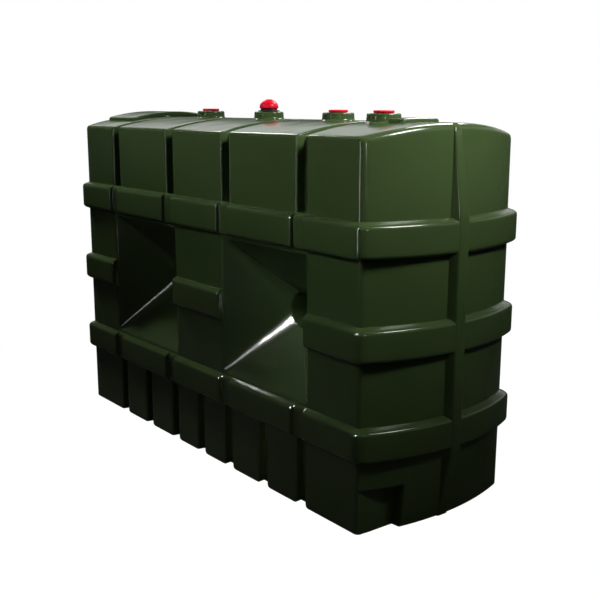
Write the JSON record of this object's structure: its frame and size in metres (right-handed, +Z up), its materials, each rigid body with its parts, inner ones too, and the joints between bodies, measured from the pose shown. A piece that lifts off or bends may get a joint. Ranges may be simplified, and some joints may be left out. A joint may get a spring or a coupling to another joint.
{
  "type": "heating oil tank",
  "caption": "Free-standing moulded plastic heating oil tank, slim and tall, with ribbed bands, funnel pockets, a crowned roof, capped bosses and a vent.",
  "frame": {"origin": "middle of the flat underside, on the ground", "axes": "+X along the long sides towards the end that shows in the picture, +Y from the front long side to the back, +Z up"},
  "size_m": [2.129, 0.752, 1.419],
  "materials": {
    "body": "glossy dark green polyethylene, fine moulded texture",
    "caps": "glossy red plastic",
    "collar": "black plastic"
  },
  "bodies": {
    "root": {"back_column": "body", "back_left_pocket": "body", "back_right_pocket": "body", "base": "body", "bosses": "body", "caps": "caps", "floor": "body", "front_column": "body", "front_left_pocket": "body", "front_right_pocket": "body", "hood": "body", "left_end": "body", "left_pad": "body", "lower_band": "body", "right_end": "body", "right_pad": "body", "roof": "body", "tie_tubes": "body", "upper_band": "body", "vent_collar": "collar"}
  },
  "joints": []
}
